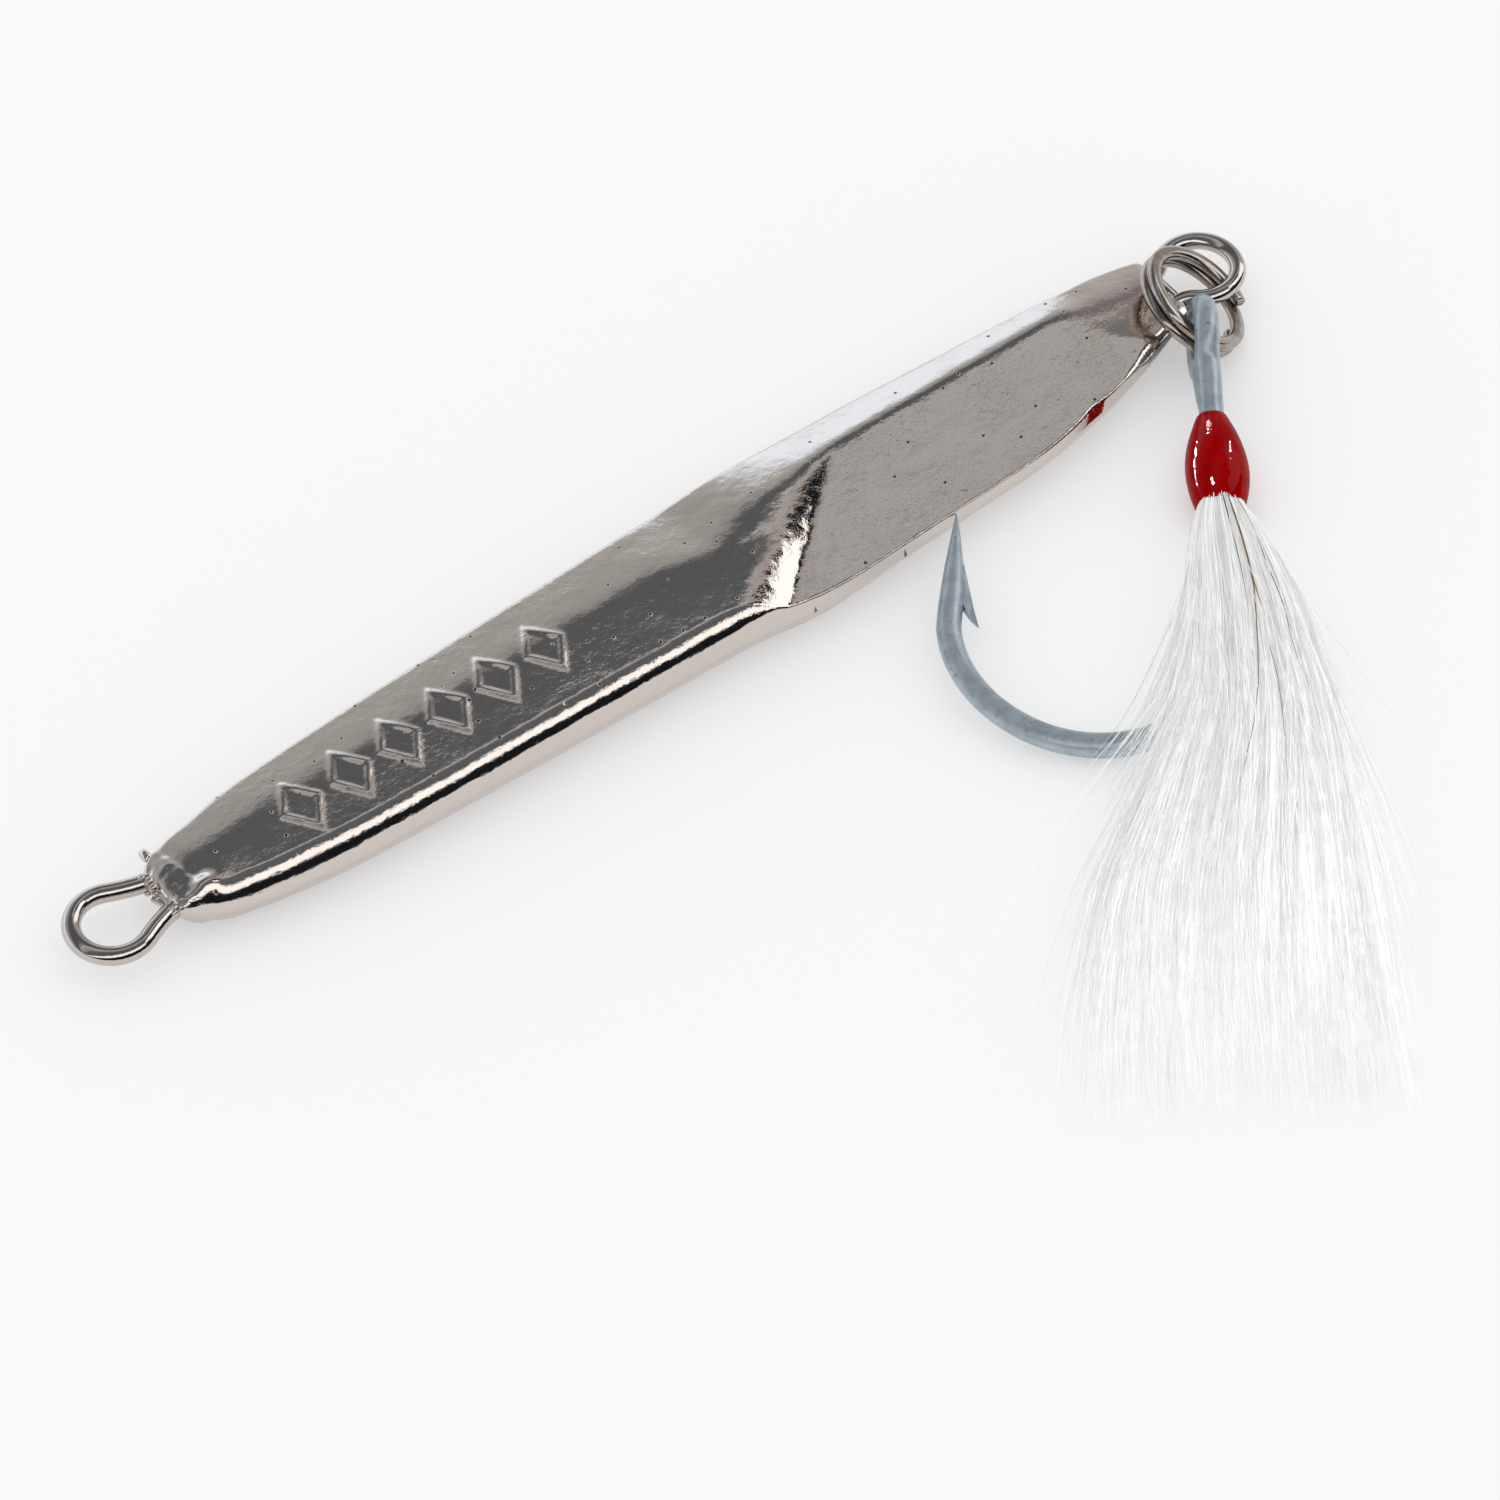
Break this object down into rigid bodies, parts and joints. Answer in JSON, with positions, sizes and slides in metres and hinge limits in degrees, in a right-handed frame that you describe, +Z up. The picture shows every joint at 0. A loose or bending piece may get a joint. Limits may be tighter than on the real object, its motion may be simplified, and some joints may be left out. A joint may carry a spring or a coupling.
{
  "type": "metal casting jig lure",
  "caption": "Nickel-plated cast metal fishing jig on a through-wire, with a split ring and a hair-dressed single hook that swings on the ring.",
  "frame": {"origin": "on the flat land under the middle of the casting, at the level of the table it rests on", "axes": "+X along the casting from the line-tie end to the hook end, +Z up out of the table, the hook lying swung out towards -Y"},
  "size_m": [0.1066, 0.0685, 0.0068],
  "materials": {
    "bright_nickel": "bright nickel plate over a slightly pebbly casting",
    "plated_wire": "bright plated wire",
    "ring_steel": "polished dark stainless",
    "hook_finish": "satin blue-grey plated",
    "red_lacquer": "clear glossy lacquer over red",
    "red_thread": "waxed winding thread",
    "white_hair": "white bucktail hair"
  },
  "bodies": {
    "lure": {"jig_body": "bright_nickel", "through_wire": "plated_wire"},
    "ring": {"split_ring": "ring_steel"},
    "hook_assembly": {"hook": "hook_finish", "thread_wrap": "red_thread", "lacquer_head": "red_lacquer", "bucktail_upper": "white_hair", "bucktail_lower": "white_hair", "bucktail_left": "white_hair", "bucktail_right": "white_hair"}
  },
  "joints": [
    {"name": "ring_swing", "type": "hinge", "parent": "lure", "child": "ring", "pos_m": [0.0496, 0.0009, 0.0026], "axis": [0, 0, 1], "range_deg": [0, 205]},
    {"name": "hook_swing", "type": "hinge", "parent": "ring", "child": "hook_assembly", "pos_m": [0.0449, -0.00526, 0.00342], "axis": [-0.8243, 0.5628, 0.0609], "range_deg": [-105, 140]}
  ]
}
